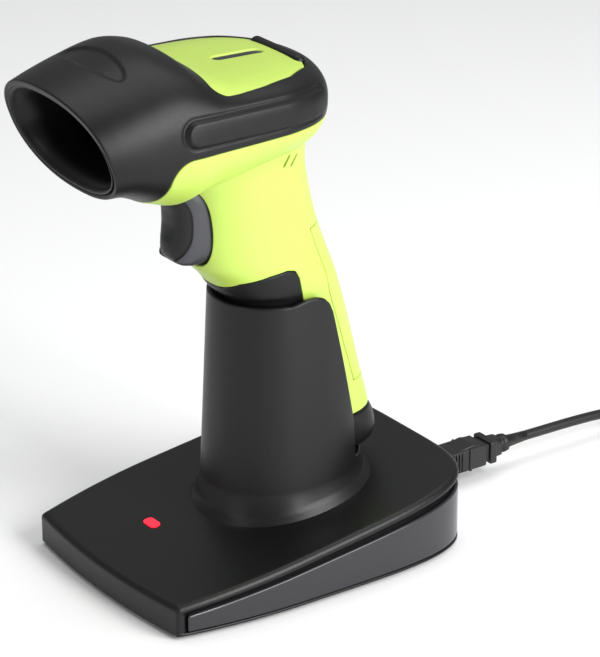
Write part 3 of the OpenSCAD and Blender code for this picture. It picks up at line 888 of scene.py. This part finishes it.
def lensKeep(points):
    x, y, z = points.T
    slot = segmentField(x, y, cover["slotStart"], cover["slotEnd"]) - cover["slotRadius"] + 0.02
    return np.where(z > 162, -slot, -5)


finished(
    panel("cover", coverSurface, 220, 260, materials["mouldedAbsGreen"], coverKeep, 0.6, 2.0),
    "scanner", "shell_green", "top_cover",
)
finished(
    panel("lamp_lens", lensSurface, 160, 120, materials["darkPolycarbonate"], lensKeep, 0.25, 1.4),
    "scanner", "indicator", "indicator_lens",
)
print("cover made")

# handle: green shell, rear cover, grip and end cap

handle = {
    "wall": 2.0,
    "triggerMiddle": 119.4,
    "triggerHalf": (9.7, 15.3),
    "triggerSquare": 2.9,
    "soundSlots": [((0.3, 135.9), (2.3, 138.7)), ((3.6, 135.3), (5.9, 137.8))],
    "slotHalf": 0.5,
}


def headLowerKeep(points):
    x, y, z = points.T
    return -polygonField(y, z, greenOutline) - 0.05


def shellKeep(points):
    x, y, z = points.T
    keep = np.minimum(polygonField(y, z, rearOutline), polygonField(y, z, gripOutline)) - 0.1
    wide, high = handle["triggerHalf"]
    square = handle["triggerSquare"]
    above = z - handle["triggerMiddle"]
    reach = (np.abs(x / wide) ** square + np.abs(above / high) ** square) ** (1 / square)
    opening = (reach - 1) * wide
    keep = np.minimum(keep, np.where(y < -8, opening, 50))
    for start, end in handle["soundSlots"]:
        slot = segmentField(y, z, start, end) - handle["slotHalf"]
        keep = np.minimum(keep, np.where(x > 0, slot, 50))
    return keep


def rearKeep(points):
    x, y, z = points.T
    return -polygonField(y, z, rearOutline) - 0.1


def gripKeep(points):
    x, y, z = points.T
    return np.minimum(-polygonField(y, z, gripOutline) - 0.1, z - 45.2)


def makeHandle(size):
    green = materials["mouldedAbsGreen"]
    body = panel("handleBody", handleSurface, 225, 300, green, shellKeep, 0.35, size["wall"])
    under = panel("headUnder", headSurface, 150, 220, green, headLowerKeep, 0.3, size["wall"])
    finished(joined("handle", [body, under]), "scanner", "shell_green", "handle_shell")
    rear = panel("rear_shell", handleSurface, 260, 320, green, rearKeep, 0.3, size["wall"])
    finished(rear, "scanner", "shell_green", "rear_cover")
    grip = panel("grip", handleSurface, 260, 320, materials["rubberGrip"], gripKeep, 0.4, size["wall"])
    finished(grip, "scanner", "grip", "grip_panel")


makeHandle(handle)
print("handle made")


def flatRing(z, front, rear, hw, power=2.3, sides=120):
    cx, cy = squareRound(2 * math.pi * np.arange(sides) / sides, power)
    return list(np.column_stack([hw * cx, (front + rear) / 2 + (rear - front) / 2 * cy, np.full(sides, z)]))


endCap = {
    "rows": [
        # height, front, rear, half width
        [31.4, 9.4, 40.6, 11.6], [31.9, 7.6, 42.2, 13.2], [33.2, 6.0, 43.3, 14.1], [36, 4.8, 43.9, 14.6],
        [40, 4, 43.2, 14.7], [43.2, 2.9, 41.6, 14.7], [44, 3.2, 40.8, 14.2],
    ],
    "inner": [[44, 5.2, 38.8, 12.4], [38, 7.4, 40.4, 12.4], [34.4, 9, 40, 11.6]],
}


def makeEndCap(size):
    rows = size["rows"]
    heights = np.linspace(rows[0][0], rows[-1][0], 26)
    rings = [flatRing(z, *row) for z, row in zip(heights, smoothTable(rows, heights))]
    rings += [flatRing(*row) for row in size["inner"]]
    cap = outward(loftRings("handle_cap", rings, materials["rubberBumper"], (True, True)))
    return finished(cap, "scanner", "bumper", "end_cap")


makeEndCap(endCap)
print("end cap made")

# trigger


trigger = {
    "middle": 119.4,
    "half": (9.2, 14.7),
    "square": 2.9,
    "side": [
        (131, -31), (129, -33.4), (127, -34.6), (123, -33.5), (119.4, -33.3), (116, -34),
        (113.2, -35.1), (111.4, -35.3), (109, -34.4), (107, -31.4), (105.4, -27),
    ],
    "padShare": 0.8,
    "padDepth": 0.9,
    "back": -20,
}


def makeTrigger(size):
    turns = 2 * math.pi * np.arange(120) / 120
    rim = np.column_stack(squareRound(turns, size["square"])) * size["half"]
    sideRows = sorted([[z, y] for z, y in size["side"]])
    shares = np.concatenate([np.linspace(0.02, 0.7, 16), np.linspace(0.73, 0.88, 12),
                             [0.9, 0.92, 0.94, 0.955, 0.97, 0.985, 1.0]])
    rings = []
    for share in shares:
        x, dz = (rim * share).T
        z = size["middle"] + dz
        plan = -18 - 1.92 * np.sqrt(np.maximum(81 - x**2, 0)) * 0.9 - 1.7
        side = smoothTable(sideRows, z)[:, 0]
        k = 1.2
        y = k * np.log(np.exp(np.clip(plan, -40, 0) / k) + np.exp(side / k))
        pad = size["padDepth"] * softStep((size["padShare"] + 0.05 - share) / 0.08)
        edge = 1.6 * np.clip((share - 0.93) / 0.07, 0, 1) ** 2
        rings.append(np.column_stack([x, y + pad + edge, z]))
    x, y, z = rings[-1].T
    for share in (0.5, 0):
        rings.append(np.column_stack([x, y * share + size["back"] * (1 - share), z]))
    rings = [list(r) for r in rings]
    # the lever and the boss are drawn in the grey of painted light, and only the pad's faces get the black
    # of the nylon itself
    piece = outward(loftRings("trigger_lever", rings, materials["nylonTriggerPaintedLight"], (True, True)))
    piece.data.materials.append(materials["nylonTriggerPad"])
    count = len(turns)
    padRings = int(np.sum(shares < size["padShare"] + 0.05))
    for face in piece.data.polygons:
        if max(v // count for v in face.vertices if v < len(rings) * count) < padRings:
            face.material_index = 1
    pivot = placed([(-5, -19, 132), (5, -19, 132)])
    boss = sweptTube("boss", pivot, 2.6 * mm, 24, materials["nylonTriggerPaintedLight"])
    return finished(joined("trigger_lever", [piece, boss]), "trigger", "trigger_plastic", "trigger")


makeTrigger(trigger)
print("trigger made")

# tower


def towerKeep(points):
    x, y, z = points.T
    return polygonField(y, z, rimOutline)


def makeTower(size):
    # the standing skin, and the well's floor with an opening for the contact block
    black = materials["mouldedAbsBlack"]
    skin = panel("tower", towerSurface, 200, 270, black, towerKeep, size["lip"], size["wall"])
    turns = 2 * math.pi * np.arange(120) / 120
    cx, cy = squareRound(turns, 2.15)
    ox, oy = squareRound(turns, 8)
    low, high = size["floor"]
    edge = np.column_stack([size["floorHalf"][0] * cx, size["middle"] + size["floorHalf"][1] * cy])
    hole = np.column_stack([size["openHalf"][0] * ox, size["openMiddle"] + size["openHalf"][1] * oy])
    rings = [list(np.column_stack([flat, np.full(120, z)]))
             for flat, z in ((edge, high), (hole, high), (hole, low), (edge, low), (edge, high))]
    floor = outward(loftRings("wellFloor", rings, black))
    return finished(joined("tower", [skin, floor]), "cradle", "cradle_plastic", "cradle_tower")


makeTower(tower)
print("tower made")

# base: top shell and gloss band

base = {
    "front": -57.0, "bow": 3.0, "rear": 61.0, "wide": -12.0, "frontHalf": 40.5, "half": 45.5, "square": 4.7,
    "frontHeight": 11.5, "slope": 0.13136, "foot": 1.2, "wall": 2.0,
    "bandLow": 2.2, "bandHigh": (0.88, -2.6), "bandDepth": 1.4,
}


def topHeight(y):
    return base["frontHeight"] + base["slope"] * (y - base["front"])


def basePlan(size):
    # right half from the middle of the front to the middle of the rear, then mirrored
    points = []
    for x in np.linspace(0, size["frontHalf"], 30)[:-1]:
        points.append((x, size["front"] - size["bow"] * (1 - (x / size["frontHalf"]) ** 2)))
    for t in np.linspace(1, 0, 40)[:-1]:
        points.append((size["half"] - (size["half"] - size["frontHalf"]) * t * t,
                       size["wide"] + (size["front"] - size["wide"]) * t))
    for a in np.linspace(0, math.pi / 2, 90):
        power = 2 / size["square"]
        x = size["half"] * math.cos(a) ** power if a < math.pi / 2 - 1e-6 else 0.0
        points.append((x, size["wide"] + (size["rear"] - size["wide"]) * math.sin(a) ** power))
    half = np.array(points)
    return np.concatenate([half, half[-2:0:-1] * [-1, 1]])


def evenly(points, count):
    # the same closed outline with points an even step apart, starting at the front
    loop = np.concatenate([points, points[:1]])
    steps = np.linalg.norm(np.diff(loop, axis=0), axis=1)
    along = np.concatenate([[0], np.cumsum(steps)])
    at = np.linspace(0, along[-1], count, endpoint=False)
    return np.column_stack([np.interp(at, along, loop[:, k]) for k in (0, 1)])


def makeBaseShell(size):
    plan = evenly(basePlan(size), 480)
    share = softStep((plan[:, 1] - (size["front"] + 1.6)) / 1.2)
    rings = []

    def ring(inset, height):
        inset = np.asarray(inset) * np.ones(len(plan))
        middle = (size["front"] + size["rear"]) / 2
        x = plan[:, 0] * (size["half"] - inset) / size["half"]
        y = middle + (plan[:, 1] - middle) * (60 - inset) / 60
        rings.append(list(np.column_stack([x, y, height(y)])))

    low, (k, d) = size["bandLow"], size["bandHigh"]
    deep = size["bandDepth"] * share
    ring(56, lambda y: topHeight(y))
    for inset in (46, 36, 26, 16, 8, 4, 2.9):
        ring(inset, lambda y: topHeight(y))
    for t in np.linspace(0, math.pi / 2, 9):
        ring(2.2 * (1 - math.sin(t)), lambda y, t=t: topHeight(y) - 2.0 * (1 - math.cos(t)))
    ring(0, lambda y: topHeight(y) - 2.3)
    ring(0.12 * share, lambda y: topHeight(y) - 2.5)
    ring(0.3 * share, lambda y: topHeight(y) - 2.6)
    ring(deep, lambda y: topHeight(y) - 2.7)
    ring(deep + 0.02, lambda y: k * topHeight(y) + d)
    ring(deep + 0.02, lambda y: np.full(len(y), low + 0.1))
    ring(deep, lambda y: np.full(len(y), low))
    ring(0.25 * share, lambda y: np.full(len(y), low - 0.02))
    ring(0, lambda y: np.full(len(y), low - 0.25))
    ring(0, lambda y: np.full(len(y), size["foot"] + 0.25))
    ring(0.25, lambda y: np.full(len(y), size["foot"]))
    wall = size["wall"]
    ring(wall + 0.2, lambda y: np.full(len(y), size["foot"] + 0.05))
    ring(wall + 0.2, lambda y: topHeight(y) - 3.4)
    ring(wall + 2.2, lambda y: topHeight(y) - wall)
    ring(55, lambda y: topHeight(y) - wall)
    shell = outward(loftRings("base_shell", rings, materials["mouldedAbsBlack"], (True, True)))
    return finished(shell, "cradle", "cradle_plastic", "base_top_shell")


def makeBand(size):
    plan = evenly(basePlan(size), 480)
    k, d = size["bandHigh"]
    parts = []
    for side in (1, -1):
        wanted = [p for p in plan if p[0] * side > 6.2 and p[1] > size["front"] + 2.6]
        wanted.sort(key=lambda p: p[1] if p[1] < 40 else 100 - p[0] * side)
        rings = []
        for x0, y0 in wanted:
            section = []
            middle = (size["front"] + size["rear"]) / 2
            for inset, high, lift in (
                (1.3, 0, 0.1), (0.7, 0, 0.1), (0.3, 0, 0.16), (0.14, 0, 0.5), (0.1, 0, 1.0),
                (0.1, 0.5, 0), (0.1, 1, -1.0), (0.14, 1, -0.5), (0.3, 1, -0.2), (0.7, 1, -0.1),
                    (1.3, 1, -0.1),
            ):
                x = x0 * (size["half"] - inset) / size["half"]
                y = middle + (y0 - middle) * (60 - inset) / 60
                low = size["bandLow"]
                top = k * topHeight(y) + d
                section.append(np.array([x, y, low + (top - low) * high + lift]))
            rings.append(section)
        parts.append(outward(loftRings("bandHalf", rings, materials["polishedAbsGrey"], (True, True))))
    return finished(joined("band", parts), "cradle", "gloss_band", "side_band")


makeBaseShell(base)
makeBand(base)
print("base made")

# repeated small parts


def makeSpreadTree():
    # puts one item at each place, turned about its own axis by a random share of a full turn
    tree = bpy.data.node_groups.new("spreadItems", "GeometryNodeTree")
    face = tree.interface
    face.new_socket("Places", in_out="INPUT", socket_type="NodeSocketGeometry")
    face.new_socket("Item", in_out="INPUT", socket_type="NodeSocketObject")
    face.new_socket("Finish", in_out="INPUT", socket_type="NodeSocketMaterial")
    face.new_socket("Turn", in_out="INPUT", socket_type="NodeSocketFloat")
    face.new_socket("Spread", in_out="OUTPUT", socket_type="NodeSocketGeometry")
    start = addNode(tree, "NodeGroupInput")
    item = addNode(tree, "GeometryNodeObjectInfo", {"Object": start.outputs["Item"]})
    # sockets 3 and 8 are the float maximum and the seed
    turn = addNode(tree, "FunctionNodeRandomValue", {3: start.outputs["Turn"], 8: 4}, data_type="FLOAT")
    axis = addNode(tree, "ShaderNodeCombineXYZ", {"Z": turn.outputs[1]})
    laid = addNode(tree, "GeometryNodeInstanceOnPoints", {
        "Points": start.outputs["Places"],
        "Instance": item.outputs["Geometry"],
        "Rotation": axis.outputs[0],
    })
    real = addNode(tree, "GeometryNodeRealizeInstances", {"Geometry": laid.outputs["Instances"]})
    finish = start.outputs["Finish"]
    dressed = addNode(tree, "GeometryNodeSetMaterial", {"Geometry": real.outputs[0], "Material": finish})
    end = addNode(tree, "NodeGroupOutput")
    tree.links.new(dressed.outputs[0], end.inputs[0])
    return tree


spreadTree = makeSpreadTree()


def spread(name, item, places, material, turn=0.0):
    # the item's own mesh is drawn about the origin, and the places are in mm
    mesh = bpy.data.meshes.new(name + "Places")
    mesh.from_pydata([tuple(p) for p in placed(places)], [], [])
    holder = bpy.data.objects.new(name + "Places", mesh)
    scene.collection.objects.link(holder)
    layer = holder.modifiers.new("spread", "NODES")
    layer.node_group = spreadTree
    ids = {s.name: s.identifier for s in spreadTree.interface.items_tree if s.in_out == "INPUT"}
    layer[ids["Item"]] = item
    layer[ids["Finish"]] = material
    layer[ids["Turn"]] = turn
    holder.update_tag()
    bpy.context.view_layer.update()
    seen = holder.evaluated_get(bpy.context.evaluated_depsgraph_get())
    plain = bpy.data.meshes.new_from_object(seen)
    made = bpy.data.objects.new(name, plain)
    scene.collection.objects.link(made)
    plain.shade_smooth()
    bpy.data.objects.remove(holder)
    bpy.data.objects.remove(item)
    return made


def turned(name, profile, material, sides=40, square=2.0):
    # profile rows are (radius, height); drawn about the origin
    rings = []
    for r, z in profile:
        cx, cy = squareRound(2 * math.pi * np.arange(sides) / sides, square)
        rings.append(list(np.column_stack([r * cx, r * cy - shiftY, np.full(sides, float(z))])))
    return outward(loftRings(name, rings, material, (True, True)))


footSize = {
    "radius": 6.0,
    "height": 2.0,
    "round": 0.5,
    "places": [(x, y, 0) for x in (-22, 22) for y in (-44, 38)],
}
screwSize = {"radius": 2.7, "places": [(x, y, 1.35) for x in (-30, 30) for y in (-46, 46)]}


def makeFeet(size):
    r, h, e = size["radius"], size["height"], size["round"]
    profile = [(r - e, 0), (r - 0.3 * e, 0.15 * e), (r, e), (r, h), (r - 0.2, h)]
    feet = spread("feet", turned("footItem", profile, None), size["places"], materials["solidRubber"])
    return finished(feet, "cradle", "feet", "rubber_feet")


def makeScrews(size):
    r = size["radius"]
    # the recess, the head's rounded edge, and the shank
    profile = [(1.1, 0.9), (1.15, 0.25), (1.35, 0), (r - 0.35, 0), (r - 0.08, 0.12)]
    profile += [(r, 0.4), (r, 0.7), (1.45, 1.3), (1.45, 6.5)]
    item = turned("screwItem", profile, None)
    screws = spread("base_screw_set", item, size["places"], materials["zincPlatedSteel"], 2 * math.pi)
    return finished(screws, "cradle", "screw_steel", "base_screws")


makeFeet(footSize)
makeScrews(screwSize)
print("feet and screws made")

# lead plug

plugSize = {
    "middle": 8.8,
    "blocks": {
        # half width, start, end, half height, edge radius
        "plugBody": (5, 61.4, 91.8, 4, 0.8),
        "plugWaist": (4.1, 90, 94.5, 3.2, 0.4),
        "plugCollar": (5, 93.3, 96.2, 4, 0.6),
        "plugNose": (4.5, 52, 63, 3.3, 0.6),
    },
    "ribs": [63.8 + 1.25 * k for k in range(15)],
    "ridge": 84.6,
    "neck": [
        # along, radius, squareness
        (95.8, 3.1, 5), (96.2, 3.35, 5), (99.6, 3.2, 5), (100.0, 2.4, 2.6), (100.9, 2.3, 2.2),
        (101.2, 2.95, 3),
        (103.2, 2.8, 3), (103.6, 2.2, 2.2), (107.5, 1.95, 2), (112, 1.74, 2),
    ],
}


def makeLeadPlug(size):
    pvc = materials["flexiblePvc"]
    z = size["middle"]
    blocks = [
        hullOfBalls(name, cornerBalls((-half, start, z - rise), (half, end, z + rise), edge), pvc)
        for name, (half, start, end, rise, edge) in size["blocks"].items()
    ]
    hump = hullOfBalls("plugHump", [
        (x, y, z + up, 0.5) for x in (-3.6, 3.6) for y, up in ((80, 3.4), (86.4, 4.3), (91.2, 3.4))
    ], pvc)
    rings = []
    for y, r, square in size["neck"]:
        cx, cz = squareRound(2 * math.pi * np.arange(48) / 48, square)
        rings.append(list(np.column_stack([r * cx, np.full(48, y), z + r * cz])))
    neck = outward(loftRings("plugNeck", rings, pvc, (True, True)))
    bar = hullOfBalls("ribItem", [(0, -shiftY, -3.1, 0.42), (0, -shiftY, 3.1, 0.42)], None, 16, 12)
    ribs = spread("plugRibs", bar, [(x, y, z) for x in (-5, 5) for y in size["ribs"]], pvc)
    edge = hullOfBalls("ridgeItem", [(0, -shiftY, -3.5, 0.6), (0, -shiftY, 3.5, 0.6)], None, 16, 12)
    ridges = spread("plugRidges", edge, [(x, size["ridge"], z) for x in (-4.9, 4.9)], pvc)
    return joined("charging_plug", blocks + [hump, neck, ribs, ridges])


plug = makeLeadPlug(plugSize)
finished(plug, "cradle", "plug_grip", "lead_plug")
print("plug made")
